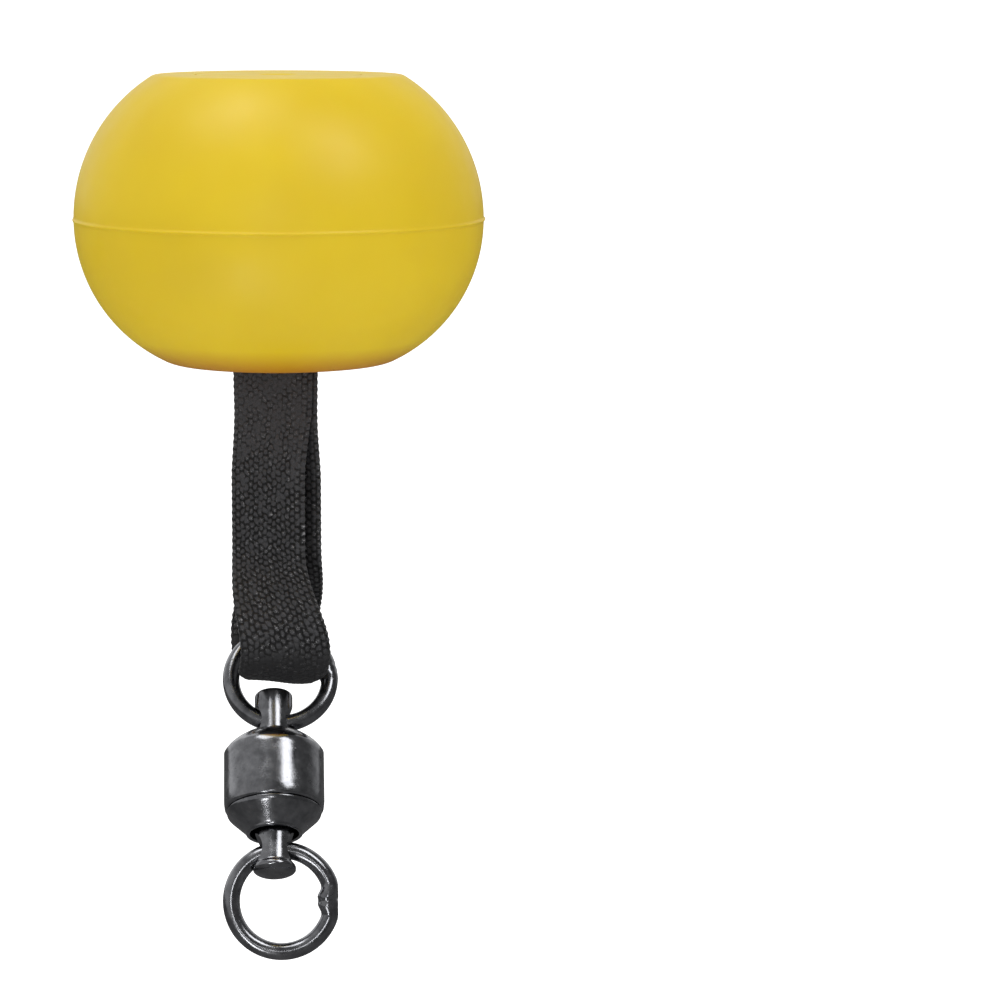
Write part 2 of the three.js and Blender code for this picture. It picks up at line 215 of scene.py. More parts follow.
def studio():
    """White tent: even light all round, a soft box overhead, one to the right, a small one in front
    and a strip low down. A mirror sees the tent darker in front and lighter behind and to the left."""
    soft_light("overhead", (-0.27, -0.11, 0.96), 600, (330, 300), 0.8)
    soft_light("right_front", (0.46, -0.44, 0.77), 600, (210, 330), 0.7)
    soft_light("front", (-0.12, -0.97, 0.2), 600, (70, 120), 0.12)
    soft_light("low_strip", (-0.3, -0.91, -0.27), 150, (14, 60), 0.02, target=(0, -8, -62))
    world = bpy.data.worlds.new("white_tent")
    bpy.context.scene.world = world
    world.use_nodes = True
    tree = world.node_tree
    ray = add(tree, "ShaderNodeLightPath").outputs
    way = add(tree, "ShaderNodeTexCoord").outputs["Generated"]
    parts = add(tree, "ShaderNodeSeparateXYZ", {"Vector": way}).outputs
    behind = remap(tree, parts["Y"], 0.25, 0.95, 0.06, 0.7)
    left = remap(tree, parts["X"], -0.8, 0.2, 0.3, 0.02)
    mirrored = sums(tree, "SUBTRACT", sums(tree, "ADD", behind, left), TENT_LIGHT)
    soft = sums(tree, "MULTIPLY_ADD", ray["Is Glossy Ray"], mirrored, TENT_LIGHT)
    level = sums(tree, "MULTIPLY_ADD", ray["Is Camera Ray"], sums(tree, "SUBTRACT", 1.0, soft), soft)
    background = tree.nodes["Background"]
    background.inputs["Color"].default_value = linear("#ffffff")
    tree.links.new(level, background.inputs["Strength"])
    bpy.context.scene.view_settings.view_transform = "Standard"


def floor_piece():
    """A wide pale floor under the object, brighter to the eye than it is as a bounce."""
    low, half = cad_box[0][2] / MM - FLOOR_DROP, FLOOR_HALF
    corners = np.array([(-half, -half, low), (half, -half, low), (half, half, low), (-half, half, low)])
    mesh = bpy.data.meshes.new("floor")
    mesh.from_pydata((corners * MM).tolist(), [], [(0, 1, 2, 3)])
    floor = bpy.data.objects.new("floor", mesh)
    bpy.context.scene.collection.objects.link(floor)
    material, tree, shader = new_material("painted_white_board")
    ray = add(tree, "ShaderNodeLightPath").outputs
    bounce = remap(tree, ray["Is Glossy Ray"], 0, 1, 0.92, 0.09)
    tone = add(tree, "ShaderNodeCombineXYZ", {0: bounce, 1: bounce, 2: bounce}).outputs[0]
    tree.links.new(tone, shader.inputs["Base Color"])
    tree.links.new(sums(tree, "MULTIPLY", ray["Is Camera Ray"], 0.62), shader.inputs["Emission Strength"])
    shader.inputs["Emission Color"].default_value = linear("#ffffff")
    shader.inputs["Roughness"].default_value = 0.9
    mesh.materials.append(material)


# ---------- mesh making ----------

def quads(rows, cols, wrap_rows):
    """Corner numbers of every cell of a grid whose columns wrap round, as an array of quads."""
    number = np.arange(rows * cols).reshape(rows, cols)
    if wrap_rows:
        number = np.vstack([number, number[:1]])
    number = np.hstack([number, number[:, :1]])
    corners = number[:-1, :-1], number[:-1, 1:], number[1:, 1:], number[1:, :-1]
    return np.stack([corner.ravel() for corner in corners], axis=1)


def surface(name, points, wrap_rows=False, sharp=40, weave=None):
    """A closed mesh from a grid of points in mm. Columns wrap round. The last row joins the first,
    or each of the two is closed with a fan of triangles to its middle."""
    rows, cols = points.shape[:2]
    corners = points.reshape(-1, 3)
    faces = quads(rows, cols, wrap_rows).tolist()
    if not wrap_rows:
        ring = np.arange(cols)
        after = np.roll(ring, -1)
        top = (rows - 1) * cols
        middle = np.full(cols, rows * cols)
        faces += np.stack([middle, after, ring], axis=1).tolist()
        faces += np.stack([middle + 1, top + ring, top + after], axis=1).tolist()
        corners = np.vstack([corners, points[0].mean(0), points[-1].mean(0)])
    mesh = bpy.data.meshes.new(name)
    mesh.from_pydata((corners * MM).tolist(), [], faces)
    if weave is not None:
        layer = mesh.attributes.new("weave", "FLOAT_VECTOR", "POINT")
        layer.data.foreach_set("vector", (weave * MM).ravel().astype(np.float32))
    finish_mesh(mesh, sharp)
    piece = bpy.data.objects.new(name, mesh)
    bpy.context.scene.collection.objects.link(piece)
    return piece


def finish_mesh(mesh, sharp):
    """Smooth shading, with edges that turn more than this many degrees kept crisp."""
    mesh.validate()
    mesh.shade_smooth()
    mesh.set_sharp_from_angle(angle=math.radians(sharp))


def arc(x, y, radius, start, end, steps):
    """Points on an arc, from one angle to another."""
    angle = np.linspace(start, end, steps + 1)
    return np.stack([x + radius * np.cos(angle), y + radius * np.sin(angle)], axis=1)


def rounded(corners, radius, steps=6, closed=False):
    """A path of straight lines with its bends rounded. Each bend is the curve
    (1-t)^2 start + 2t(1-t) corner + t^2 end, from this far before the corner to this far after it."""
    path = np.array(corners, float)
    t = np.linspace(0, 1, steps)[:, None]
    pieces = [] if closed else [path[:1]]
    for i in range(0 if closed else 1, len(path) - (0 if closed else 1)):
        before, here, after = path[i - 1], path[i], path[(i + 1) % len(path)]
        back, on = before - here, after - here
        back_length, on_length = np.linalg.norm(back), np.linalg.norm(on)
        cut_in = min(radius, 0.45 * back_length, 0.45 * on_length)
        start = here + back / back_length * cut_in
        end = here + on / on_length * cut_in
        pieces.append((1 - t) ** 2 * start + 2 * t * (1 - t) * here + t ** 2 * end)
    if not closed:
        pieces.append(path[-1:])
    return np.vstack(pieces)


def turned(profile, segments, up=(0.0, 0.0, 1.0), origin=(0.0, 0.0, 0.0), ripple=None):
    """A profile of (radius, height) turned round an axis:
    point = origin + radius cos(a) right + radius sin(a) side + height up, for a full turn of a.
    A ripple adds to the radius by height and angle."""
    up = np.array(up, float)
    side = np.cross(up, RIGHT) if abs(up[0]) < 0.5 else np.array([0.0, 1.0, 0.0])
    right = np.cross(side, up)
    angle = np.linspace(0, 2 * math.pi, segments, endpoint=False)
    radius = np.repeat(profile[:, :1], segments, axis=1)
    if ripple is not None:
        radius = radius + ripple(profile, angle[None, :])
    way = np.cos(angle)[:, None] * right + np.sin(angle)[:, None] * side
    return np.array(origin) + radius[..., None] * way[None] + profile[:, 1][:, None, None] * up


def cut(piece, cutter, sharp=40):
    """Cuts one closed piece out of another and keeps the result as the piece's own mesh."""
    modifier = piece.modifiers.new("cut", "BOOLEAN")
    modifier.operation = "DIFFERENCE"
    modifier.solver = "EXACT"
    modifier.object = cutter
    bpy.context.view_layer.update()
    shaped = piece.evaluated_get(bpy.context.evaluated_depsgraph_get())
    mesh = bpy.data.meshes.new_from_object(shaped)
    piece.modifiers.clear()
    piece.data = mesh
    bpy.data.objects.remove(cutter)
    finish_mesh(mesh, sharp)


def smooth(t):
    """0 below 0, 1 above 1, and 3t^2 - 2t^3 between."""
    t = np.clip(t, 0, 1)
    return t * t * (3 - 2 * t)


# ---------- shader making ----------

def linear(hex_colour):
    """An sRGB hex colour as linear red, green, blue and alpha."""
    parts = [int(hex_colour[i:i + 2], 16) / 255 for i in (1, 3, 5)]
    return tuple(p / 12.92 if p <= 0.04045 else ((p + 0.055) / 1.055) ** 2.4 for p in parts) + (1.0,)


def add(tree, kind, inputs=None, **settings):
    """Adds a node, sets it up, and fills or links its inputs."""
    node = tree.nodes.new(kind)
    for name, value in settings.items():
        setattr(node, name, value)
    for key, value in (inputs or {}).items():
        if isinstance(value, bpy.types.NodeSocket):
            tree.links.new(value, node.inputs[key])
        else:
            node.inputs[key].default_value = value
    return node


def new_material(name):
    """An empty material, its node tree and its Principled shader."""
    material = bpy.data.materials.new(name)
    material.use_nodes = True
    tree = material.node_tree
    return material, tree, tree.nodes["Principled BSDF"]


def object_place(tree, scale=(1, 1, 1), rotation=(0, 0, 0)):
    """Object coordinates, turned and scaled."""
    place = add(tree, "ShaderNodeTexCoord").outputs["Object"]
    settings = {"Vector": place, "Scale": scale, "Rotation": rotation}
    return add(tree, "ShaderNodeMapping", settings).outputs["Vector"]


def noise(tree, vector, size_mm, detail=3.0, roughness=0.5):
    """Noise whose lumps are about this many millimetres across."""
    settings = {"Vector": vector, "Scale": 1 / (size_mm * MM), "Detail": detail, "Roughness": roughness}
    return add(tree, "ShaderNodeTexNoise", settings).outputs["Fac"]


def remap(tree, value, low, high, to_low, to_high):
    """Takes a range of a value to another range, and stops at its ends."""
    settings = {"Value": value, "From Min": low, "From Max": high, "To Min": to_low, "To Max": to_high}
    return add(tree, "ShaderNodeMapRange", settings).outputs["Result"]


def mix(tree, factor, first, second):
    """Mixes two colours, given as hex or as sockets."""
    colours = [linear(c) if isinstance(c, str) else c for c in (first, second)]
    settings = {0: factor, 6: colours[0], 7: colours[1]}
    return add(tree, "ShaderNodeMix", settings, data_type="RGBA").outputs[2]


def sums(tree, operation, first, second=0.0, third=0.0):
    """One sum on sockets or numbers."""
    return add(tree, "ShaderNodeMath", {0: first, 1: second, 2: third}, operation=operation).outputs[0]


def bump(tree, shader, height, strength, depth_mm):
    """Small relief from a height that runs from 0 to 1, this many millimetres deep."""
    node = add(tree, "ShaderNodeBump", {"Height": height, "Strength": strength, "Distance": depth_mm * MM})
    tree.links.new(node.outputs["Normal"], shader.inputs["Normal"])


# ---------- materials ----------

def moulded_vinyl():
    """Soft PVC moulded in a polished tool: a broad satin highlight, painted shade that deepens the colour
    to amber at the foot, and a very fine orange peel."""
    material, tree, shader = new_material("satin_moulded_soft_pvc_yellow")
    place = object_place(tree)
    height = add(tree, "ShaderNodeSeparateXYZ", {"Vector": place}).outputs["Z"]
    cloudy = remap(tree, noise(tree, place, 14, 2), 0.35, 0.65, 0, 1)
    body = mix(tree, cloudy, "#e0c000", "#dbba00")
    # painted shade: the colour turns amber over the lowest 2.8 mm of the knob, where its underside faces
    # away from the light
    foot = remap(tree, height, (KNOB_BOTTOM + 2.8) * MM, KNOB_BOTTOM * MM, 0.0, 1.0)
    tree.links.new(mix(tree, foot, body, "#b87606"), shader.inputs["Base Color"])
    satin = remap(tree, noise(tree, place, 3, 3), 0.3, 0.7, 0.38, 0.47)
    tree.links.new(satin, shader.inputs["Roughness"])
    bump(tree, shader, noise(tree, place, 0.5, 2), 0.1, 0.05)
    shader.inputs["IOR"].default_value = 1.53
    shader.inputs["Subsurface Weight"].default_value = 0.1
    shader.inputs["Subsurface Radius"].default_value = (1.0, 0.45, 0.08)
    shader.inputs["Subsurface Scale"].default_value = 1.6 * MM
    return material


def woven_nylon():
    """Nylon webbing in a plain weave: painted shade in the dips where the yarns dive, grey yarn tops with
    small painted highlights where filaments would catch the light, and a fuzzy sheen. Rib and pick are at
    their real pitch."""
    material, tree, shader = new_material("woven_black_nylon_webbing")
    place = add(tree, "ShaderNodeAttribute", attribute_name="weave").outputs["Vector"]
    parts = add(tree, "ShaderNodeSeparateXYZ", {"Vector": place}).outputs
    across = sums(tree, "DIVIDE", parts["X"], RIB_PITCH * MM)
    along = sums(tree, "DIVIDE", parts["Y"], PICK_PITCH * MM)
    show = sums(tree, "DIVIDE", parts["Z"], MM)
    phase = sums(tree, "MULTIPLY_ADD", sums(tree, "ROUND", across), 0.5, along)
    wave = sums(tree, "COSINE", sums(tree, "MULTIPLY", phase, 2 * math.pi))
    dip = sums(tree, "POWER", sums(tree, "MULTIPLY_ADD", wave, -0.5, 0.5), 2.5)
    rib = sums(tree, "ABSOLUTE", sums(tree, "COSINE", sums(tree, "MULTIPLY", across, math.pi)))
    relief = sums(tree, "MULTIPLY", sums(tree, "SQRT", rib), sums(tree, "MULTIPLY_ADD", dip, -0.85, 1.0))
    patchy = noise(tree, place, 0.9, 3, 0.7)
    fibre = noise(tree, place, 0.1, 2, 0.6)
    depth = sums(tree, "MULTIPLY", sums(tree, "SUBTRACT", 1.0, relief), show)
    # painted shade: the dips between the yarns are darkened towards #040404, as shade falling into them
    hole = sums(tree, "MULTIPLY", depth, remap(tree, patchy, 0.38, 0.56, 0.3, 1.3))
    top = mix(tree, remap(tree, fibre, 0.35, 0.65, 0, 1), "#2e2e30", "#444447")
    base = mix(tree, remap(tree, hole, 0.1, 0.42, 0, 1), top, "#040404")
    # painted highlight: small pale #b8b8ba glints painted into the colour of the yarn tops
    painted_glint_spots = sums(tree, "MULTIPLY", remap(tree, patchy, 0.5, 0.62, 0, 1), remap(tree, fibre, 0.54, 0.66, 0, 1))
    painted_glint = sums(tree, "MULTIPLY", painted_glint_spots, sums(tree, "MULTIPLY", relief, show))
    # painted shade: the webbing darkens towards #101011 near the bottom of the fold, where it turns down
    # away from the light
    level = add(tree, "ShaderNodeSeparateXYZ", {"Vector": object_place(tree)}).outputs["Z"]
    painted_shade_near_fold = remap(tree, level, (FOLD_BOTTOM + 6) * MM, (FOLD_BOTTOM + 3) * MM, 0, 0.75)
    base = mix(tree, painted_shade_near_fold, base, "#101011")
    tree.links.new(mix(tree, painted_glint, base, "#b8b8ba"), shader.inputs["Base Color"])
    height = sums(tree, "MULTIPLY_ADD", depth, -1.0, sums(tree, "MULTIPLY", fibre, 0.35))
    bump(tree, shader, height, 0.8, WEAVE_RELIEF)
    shader.inputs["Roughness"].default_value = 0.62
    shader.inputs["IOR"].default_value = 1.53
    shader.inputs["Sheen Weight"].default_value = 0.05
    shader.inputs["Sheen Roughness"].default_value = 0.4
    return material


def black_nickel():
    """Stainless steel with a tumbled black nickel plate: a dark mirror with hairline scratches, small
    pits and slightly duller patches."""
    material, tree, shader = new_material("tumbled_black_nickel_on_stainless_steel")
    place = object_place(tree)
    patch = noise(tree, place, 1.6, 4, 0.6)
    scratch = noise(tree, object_place(tree, (1, 0.12, 1), (0.5, 0.2, 0.4)), 0.16, 3, 0.7)
    cells = add(tree, "ShaderNodeTexVoronoi", {"Vector": place, "Scale": 1 / (0.9 * MM)})
    pit = remap(tree, cells.outputs["Distance"], 0.04, 0.14, 1, 0)
    tone = mix(tree, remap(tree, patch, 0.35, 0.65, 0, 1), "#8a8b8f", "#b0b1b5")
    pitted = mix(tree, sums(tree, "MULTIPLY", pit, 0.6), tone, "#2b2b2d")
    tree.links.new(pitted, shader.inputs["Base Color"])
    dull = sums(tree, "MULTIPLY_ADD", pit, 0.25, remap(tree, patch, 0.35, 0.7, 0.12, 0.26))
    tree.links.new(dull, shader.inputs["Roughness"])
    bump(tree, shader, sums(tree, "MULTIPLY_ADD", pit, -0.5, scratch), 0.2, 0.03)
    shader.inputs["Metallic"].default_value = 1.0
    return material


def plated_steel():
    """Zinc plated steel: pale grey with a faint crystal mottling."""
    material, tree, shader = new_material("zinc_plated_steel")
    mottle = noise(tree, object_place(tree), 0.8, 3)
    tree.links.new(mix(tree, mottle, "#a9acb0", "#c9ccd0"), shader.inputs["Base Color"])
    tree.links.new(remap(tree, mottle, 0.3, 0.7, 0.3, 0.45), shader.inputs["Roughness"])
    shader.inputs["Metallic"].default_value = 1.0
    return material


def bearing_steel():
    """Ground and polished bearing steel: bright, with a trace of the grinding."""
    material, tree, shader = new_material("ground_bearing_steel")
    grain = noise(tree, object_place(tree, (1, 1, 0.1)), 0.2, 2)
    tree.links.new(mix(tree, grain, "#c4c6ca", "#d6d8dc"), shader.inputs["Base Color"])
    tree.links.new(remap(tree, grain, 0.3, 0.7, 0.08, 0.16), shader.inputs["Roughness"])
    shader.inputs["Metallic"].default_value = 1.0
    return material


def bonded_thread():
    """Bonded polyester thread: black and slightly waxy, with its twist as a fine ripple."""
    material, tree, shader = new_material("bonded_polyester_thread")
    twist = noise(tree, object_place(tree, (1, 1, 3)), 0.3, 2)
    tree.links.new(mix(tree, twist, "#101011", "#2a2a2c"), shader.inputs["Base Color"])
    shader.inputs["Roughness"].default_value = 0.5
    shader.inputs["IOR"].default_value = 1.55
    return material


# ---------- knob ----------

def half_outline(flat, edge_radius):
    """Outline of one half of the knob from the equator up. The side is one arc through the equator
    and the flat's edge, which has a smaller round of its own."""
    inset = KNOB_RADIUS - flat / 2
    side_radius = (KNOB_TOP ** 2 + inset ** 2) / (2 * inset)
    side_x = KNOB_RADIUS - side_radius
    edge_z = KNOB_TOP - edge_radius
    edge_x = side_x + math.sqrt((side_radius - edge_radius) ** 2 - edge_z ** 2)
    end = math.atan2(edge_z, edge_x - side_x)
    flash_end = 3 * FLASH_WIDTH / side_radius
    near = arc(side_x, 0, side_radius, 0, flash_end, 14)
    far = arc(side_x, 0, side_radius, flash_end, end, 40)[1:]
    edge = arc(edge_x, edge_z, edge_radius, end, math.pi / 2, 12)[1:]
    return np.vstack([near, far, edge])


def flash(profile, angle):
    """The parting line: a ridge of depth exp(-(z / width)^2) that wavers as it goes round. The hollow
    inside the knob, which is nearer the axis, has none."""
    height = profile[:, 1:2]
    waver = 0.8 + 0.12 * np.sin(3 * angle + 1) + 0.08 * np.sin(11 * angle)
    outside = profile[:, :1] > KNOB_RADIUS * 0.9
    return np.where(outside, FLASH_DEPTH * waver * np.exp(-((height / FLASH_WIDTH) ** 2)), 0.0)


def slot_cutter(top):
    """The webbing's slot, carried up through the knob's foot to a height, with a wide soft mouth.
    Its section is x = X sgn(cos a)|cos a|^0.35, y = Y sgn(sin a)|sin a|^0.5, turned with the strap."""
    half_x, half_y = SLOT_MARGIN + (STRAP_WIDTH / 2, STRAP_THICKNESS)
    angle = np.linspace(0, 2 * math.pi, 96, endpoint=False)
    cos, sin = np.cos(angle), np.sin(angle)
    z = np.append(KNOB_BOTTOM + np.array([-3, 0, 0.3, 0.8, 1.5]), top)
    grow = np.array([1.2, 1.2, 0.75, 0.3, 0.0, 0.0])[:, None]
    x = (half_x + grow) * np.sign(cos) * np.abs(cos) ** 0.35
    y = (half_y + grow) * np.sign(sin) * np.abs(sin) ** 0.5
    turn_x, turn_y = math.cos(STRAP_TURN), math.sin(STRAP_TURN)
    height = np.repeat(z[:, None], len(angle), axis=1)
    return surface("slot", np.stack([x * turn_x - y * turn_y, x * turn_y + y * turn_x, height], axis=2))


def knob_piece():
    """Solid of revolution with the anchor's hollow and the plug's seat in its top."""
    washer_low, washer_high = box("anchor_washer")
    plug_low, plug_high = box("top_plug")
    recess = max(washer_high[0], washer_high[1]) + 0.1
    floor = washer_low[2] - SEAT_GAP
    seat, seat_z = plug_high[0] + SEAT_GAP, plug_low[2] - SEAT_GAP
    hollow = [(TOP_FLAT / 2 - 2, KNOB_TOP), (seat, KNOB_TOP), (seat, seat_z), (recess, seat_z),
              (recess, floor), (0.5, floor)]
    bottom = np.array([(0.5, KNOB_BOTTOM), (FOOT_FLAT / 4, KNOB_BOTTOM)])
    lower = half_outline(FOOT_FLAT, FOOT_EDGE)[:0:-1] * (1, -1)
    profile = np.vstack([bottom, lower, half_outline(TOP_FLAT, TOP_EDGE), rounded(hollow, 0.2)])
    knob = surface("knob", turned(profile, 192, ripple=flash))
    cut(knob, slot_cutter(floor + 0.5))
    return knob


def plug_piece():
    """Flat disc with a rounded rim and a small dished gate mark in its middle."""
    low, high = box("top_plug")
    radius, top = high[0], high[2]
    corners = [(0.3, low[2]), (radius, low[2]), (radius, top), (2.2, top), (1.9, top - 0.15),
               (0.3, top - 0.15)]
    return surface("plug", turned(rounded(corners, 0.3), 128))


# ---------- webbing ----------

def belt_line():
    """Middle line of the webbing as a closed belt in Y and Z: from the top of the pin down the front
    ply, round the fold and up the back ply. Below the knob each ply stands off the middle by half
    the strap and a gap, MID_GAP / 2 growing into the fold's round."""
    half = STRAP_THICKNESS / 2
    touching = half + PLY_GAP / 2
    pin_low, pin_high = box("anchor_pin")
    pin_z = (pin_low[2] + pin_high[2]) / 2
    neck = box("anchor_washer")[0][2] + NECK_RISE
    loop_top = HINGE_Z - LOOP_TOP_DROP
    fold_z = FOLD_BOTTOM + STRAP_THICKNESS + FOLD_INNER
    wrap_radius = (pin_high[2] - pin_low[2]) / 2 + SEAT_GAP + half
    wrap = arc(0, pin_z, wrap_radius, 0.5 * math.pi, 1.14 * math.pi, 40)
    straight = np.array([(-touching, neck), (-touching, loop_top)])
    z = np.linspace(loop_top, fold_z, 200)[1:]
    wedge = MID_GAP / 2 * smooth((loop_top - z) / WEDGE_LENGTH)
    gap = wedge + (FOLD_INNER - wedge) * smooth((fold_z + BULB_RISE - z) / BULB_RISE)
    ply = np.stack([-gap - touching, z], axis=1)
    fold = arc(0, fold_z, FOLD_INNER + half, math.pi, 1.5 * math.pi, 60)[1:]
    front = np.vstack([wrap, straight, ply, fold])
    return np.vstack([front, front[-2:0:-1] * (-1, 1)])


def even_belt():
    """The belt's Y, Z and distance along it, with soft bends, and rows close together where it
    shows and sparse inside the knob. Also gives the belt's whole length."""
    line = belt_line()
    closed = np.vstack([line, line[:1]])
    along = np.concatenate([[0], np.cumsum(np.linalg.norm(np.diff(closed, axis=0), axis=1))])
    fine = np.linspace(0, along[-1], 4000, endpoint=False)
    path = np.stack([np.interp(fine, along, closed[:, k]) for k in (0, 1)], axis=1)
    kernel = np.hanning(43)[1:-1]
    kernel /= kernel.sum()
    pad = len(kernel)
    wide = np.vstack([path[-pad:], path, path[:pad]])
    soft = np.stack([np.convolve(wide[:, k], kernel, "same")[pad:-pad] for k in (0, 1)], axis=1)
    hidden = smooth((soft[:, 1] - KNOB_BOTTOM - 1) / 1.5)
    step = ROW_STEP + (HIDDEN_ROW_STEP - ROW_STEP) * hidden
    count = np.cumsum(along[-1] / len(fine) / step)
    where = np.interp(np.linspace(0, count[-1], int(count[-1]), endpoint=False), count, fine)
    return np.interp(where, fine, soft[:, 0]), np.interp(where, fine, soft[:, 1]), where, along[-1]


def strap_section():
    """The webbing's section as four arrays round it: across from -1 to 1, through from 1 outside to
    -1 inside, the bulge of the selvedges, and 1 on the outer face where ribs are modelled."""
    outer = np.linspace(1, -1, 82)
    inner = np.linspace(-1, 1, 24)
    turn = np.linspace(0, math.pi, 8)[1:-1]
    across = np.concatenate([outer, -1 + 0 * turn, inner, 1 + 0 * turn])
    through = np.concatenate([1 + 0 * outer, np.cos(turn), -1 + 0 * inner, -np.cos(turn)])
    bulge = np.concatenate([0 * outer, -np.sin(turn), 0 * inner, np.sin(turn)])
    ribbed = np.concatenate([1 + 0 * outer, 0 * turn, 0 * inner, 0 * turn])
    return across, through, bulge, ribbed


def strap_width(along, length):
    """Share of the full width along the belt: narrow where it goes through the ring, opening sooner
    in front of the ring than behind it."""
    pinch = PINCHED_WIDTH / STRAP_WIDTH
    from_fold = along - length / 2
    front = smooth((-from_fold - 1.2) / 2.2)
    back = smooth((from_fold - 2.2) / 2.4)
    return pinch + (1 - pinch) * np.maximum(front, back)


def weave_show(z, a, s):
    """How strongly the weave stands out, from 0 to 1: worn smooth at the knob and flattened in the
    fold, with slow patches between."""
    worn = 0.4 + 0.6 * smooth((-22 - z) / 12)
    pressed = 1 - 0.65 * smooth((FOLD_BOTTOM + 6 - z) / 3)
    patches = 0.8 + 0.2 * np.sin(1.9 * a + 0.6 * s) * np.sin(0.9 * s - 0.7 * a + 1)
    return worn * pressed * patches


def strap_piece():
    """The webbing: a rounded flat section carried along the belt, pinched in the ring and turned
    about Z towards the knob. Its outer face stands up by the weave's relief, which is
    sqrt|cos(pi a / rib)| (1 - 0.8 d^2) with d = (1 - cos(2 pi (s / pick + column / 2))) / 2, where a
    and s wander by about 0.1 so that the yarns lie unevenly."""
    y, z, along, length = even_belt()
    across, through, bulge, ribbed = strap_section()
    tangent = np.stack([np.roll(y, -1) - np.roll(y, 1), np.roll(z, -1) - np.roll(z, 1)], axis=1)
    tangent /= np.linalg.norm(tangent, axis=1)[:, None]
    out_y, out_z = tangent[:, 1:2], -tangent[:, :1]
    a = (across * (STRAP_WIDTH / 2 - SELVEDGE))[None, :]
    s, y, z = along[:, None], y[:, None], z[:, None]
    inner = 1 - smooth((np.abs(a) - 3.2) / 0.9)
    loose_a = a + inner * (0.1 * np.sin(2.1 * s + 1.3 * a) + 0.06 * np.sin(5.3 * s - 2 * a))
    loose_s = s + inner * (0.12 * np.sin(1.9 * a + 0.5 * s) + 0.06 * np.sin(4.7 * a - 1.3 * s))
    dip = 0.5 - 0.5 * np.cos(2 * math.pi * (loose_s / PICK_PITCH + np.round(loose_a / RIB_PITCH) / 2))
    relief = np.sqrt(np.abs(np.cos(math.pi * loose_a / RIB_PITCH))) * (1 - 0.8 * dip ** 2)
    show = weave_show(z, a, s)
    raised = (1 - show * (1 - relief)) * ribbed[None, :]
    b = through[None, :] * (STRAP_THICKNESS / 2 - WEAVE_RELIEF) + raised * WEAVE_RELIEF
    loops = 0.05 * np.cos(2 * math.pi * s / PICK_PITCH) * bulge[None, :]
    x = (a + bulge[None, :] * SELVEDGE + loops) * strap_width(along, length)[:, None]
    near_fold = smooth(1 - np.abs(s - length / 2) / 5)
    sag = 0.25 - 0.6 * np.exp(-(((x - 2.2) / 3.2) ** 2))
    pz = z + out_z * b + sag * near_fold
    ply_reach = MID_GAP / 2 + STRAP_THICKNESS / 2
    opened = y - np.clip(y, -ply_reach, ply_reach)
    py = y + out_y * b - opened
    to_mid = smooth((HINGE_Z - pz) / 10)
    twisted = smooth((pz - FOLD_BOTTOM - UNTWIST_START) / UNTWIST_LENGTH)
    turn = (STRAP_TURN + (STRAP_MID_TURN - STRAP_TURN) * to_mid) * twisted
    fold_turn = STRAP_FOLD_TURN * (1 - twisted)
    shift = STRAP_SHIFT * smooth((KNOB_BOTTOM + 1.5 - pz) / 3) * twisted
    shift = shift + UPPER_RING_CENTRE[0] * (1 - twisted)
    px = x * np.cos(turn) - py * np.sin(turn) - opened * np.sin(fold_turn) + shift
    py = x * np.sin(turn) + py * np.cos(turn) + opened * np.cos(fold_turn)
    points = np.stack([px, py, pz], axis=2)
    shape = points.shape[:2]
    place = (loose_a + bulge[None, :] * SELVEDGE, loose_s, show)
    weave = np.stack([np.broadcast_to(part, shape) for part in place], axis=2)
    return surface("webbing", points, wrap_rows=True, sharp=80, weave=weave)


# ---------- rings ----------

def ring_piece(name, centre, up, weld_angle, bead):
    """A welded wire ring in the plane of RIGHT and up. At the weld the wire swells by
    0.22 exp(-(angle from it / 0.26)^4) of its radius and stands inwards by the bead, with soft lumps
    and a shallow seam."""
    t = np.linspace(0, 2 * math.pi, 320, endpoint=False)[:, None]
    s = np.linspace(0, 2 * math.pi, 40, endpoint=False)[None, :]
    off = (t - weld_angle + math.pi) % (2 * math.pi) - math.pi
    swell = np.exp(-((off / 0.26) ** 4))
    lumps = 0.03 * np.sin(13 * off + 2 * s) * np.cos(2 * s + 1) + 0.015 * np.cos(29 * off - s)
    seam = 0.1 * np.exp(-(((off - 0.04 * np.sin(2 * s)) / 0.05) ** 2)) * (0.6 + 0.4 * np.cos(s))
    wire = WIRE_DIAMETER / 2 * (1 + swell * (0.22 + lumps) - seam)
    radius = RING_RADIUS - bead * swell + wire * np.cos(s)
    across = radius[..., None] * (np.cos(t)[..., None] * RIGHT + np.sin(t)[..., None] * up)
    points = centre + across + (wire * np.sin(s))[..., None] * np.cross(RIGHT, up)
    return surface(name, points[::-1], wrap_rows=True, sharp=70)


# ---------- stems and barrel ----------

def eye_cutter(eye):
    """The ring's eye through a stem: a hole that flares towards both sides."""
    end = STEM_DIAMETER / 2 + 0.5
    x = np.linspace(-end, end, 25)
    flare = np.maximum(np.abs(x) - 0.5, 0) / (STEM_DIAMETER / 2 - 0.5)
    profile = np.stack([(EYE_DIAMETER + (EYE_MOUTH - EYE_DIAMETER) * flare) / 2, x], axis=1)
    return surface("eye", turned(profile, 64, up=RIGHT, origin=eye))


def stem_piece(name, eye, corners, radius):
    """A turned stem with a flared eye across it."""
    stem = surface(name, turned(rounded(corners, radius), 96, up=SWIVEL_UP, origin=eye), sharp=35)
    cut(stem, eye_cutter(eye), sharp=35)
    return stem


def upper_stem_piece():
    """Round bar with a domed end, and the head that the upper balls run on."""
    low, top, head = reach("upper_stem", UPPER_EYE, SWIVEL_UP)
    radius, under = STEM_DIAMETER / 2, low + HEAD_THICKNESS
    corners = [(0.3, low), (head, low), (head, under), (radius, under), (radius, top - 0.35),
               (radius * 0.6, top - 0.03), (0.3, top)]
    return stem_piece("upper_stem_bar", UPPER_EYE, corners, 0.35)


